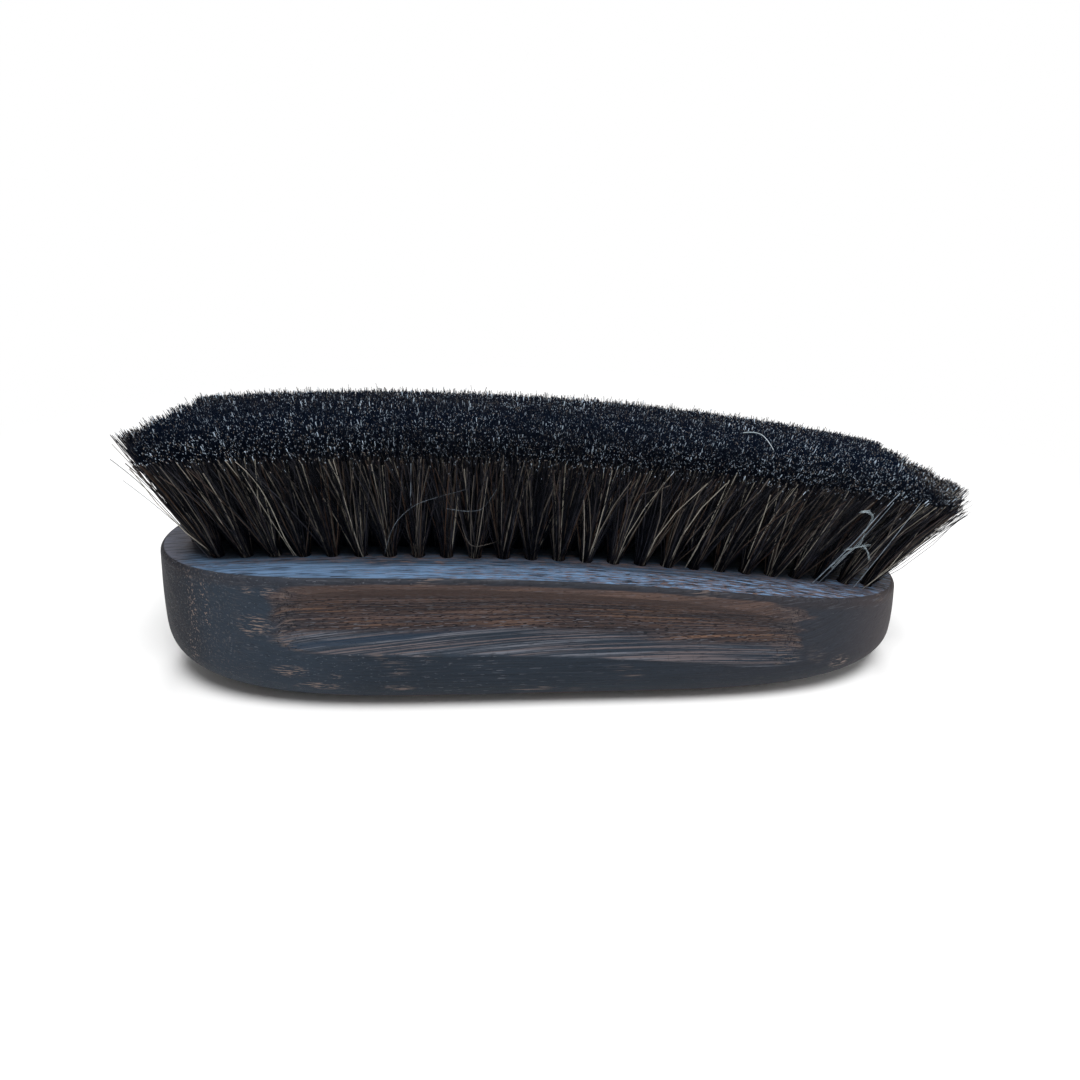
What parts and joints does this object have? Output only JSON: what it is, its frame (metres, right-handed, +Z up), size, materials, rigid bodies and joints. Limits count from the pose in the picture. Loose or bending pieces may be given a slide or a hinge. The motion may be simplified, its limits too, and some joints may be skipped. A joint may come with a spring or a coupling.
{
  "type": "polishing brush",
  "caption": "Oval wooden polishing brush with finger grooves along both sides, a gently domed back and a dense splayed field of trimmed dark horsehair tufts.",
  "frame": {"origin": "centre of the flat on the domed back, on the surface that the brush rests on", "axes": "+X along the block from its deep end to its shallow end, +Y across it, +Z up out of the bristle face"},
  "size_m": [0.1953, 0.0534, 0.0626],
  "materials": {
    "stained_wood": "near-black stain over open-grained dark wood, satin, worn to brown in the finger grooves",
    "horsehair": "glossy near-black horsehair with scattered brown and pale hairs"
  },
  "bodies": {
    "root": {"block": "stained_wood", "tufts_row_1_group_1": "horsehair", "tufts_row_1_group_2": "horsehair", "tufts_row_1_group_3": "horsehair", "tufts_row_1_group_4": "horsehair", "tufts_row_1_group_5": "horsehair", "tufts_row_1_group_6": "horsehair", "tufts_row_1_group_7": "horsehair", "tufts_row_1_group_8": "horsehair", "tufts_row_2_group_1": "horsehair", "tufts_row_2_group_2": "horsehair", "tufts_row_2_group_3": "horsehair", "tufts_row_2_group_4": "horsehair", "tufts_row_2_group_5": "horsehair", "tufts_row_2_group_6": "horsehair", "tufts_row_2_group_7": "horsehair", "tufts_row_2_group_8": "horsehair", "tufts_row_3_group_1": "horsehair", "tufts_row_3_group_2": "horsehair", "tufts_row_3_group_3": "horsehair", "tufts_row_3_group_4": "horsehair", "tufts_row_3_group_5": "horsehair", "tufts_row_3_group_6": "horsehair", "tufts_row_3_group_7": "horsehair", "tufts_row_3_group_8": "horsehair", "tufts_row_4_group_1": "horsehair", "tufts_row_4_group_2": "horsehair", "tufts_row_4_group_3": "horsehair", "tufts_row_4_group_4": "horsehair", "tufts_row_4_group_5": "horsehair", "tufts_row_4_group_6": "horsehair", "tufts_row_4_group_7": "horsehair", "tufts_row_4_group_8": "horsehair", "tufts_row_5_group_1": "horsehair", "tufts_row_5_group_2": "horsehair", "tufts_row_5_group_3": "horsehair", "tufts_row_5_group_4": "horsehair", "tufts_row_5_group_5": "horsehair", "tufts_row_5_group_6": "horsehair", "tufts_row_5_group_7": "horsehair", "tufts_row_5_group_8": "horsehair", "tufts_row_6_group_1": "horsehair", "tufts_row_6_group_2": "horsehair", "tufts_row_6_group_3": "horsehair", "tufts_row_6_group_4": "horsehair", "tufts_row_6_group_5": "horsehair", "tufts_row_6_group_6": "horsehair", "tufts_row_6_group_7": "horsehair", "tufts_row_6_group_8": "horsehair"}
  },
  "joints": []
}
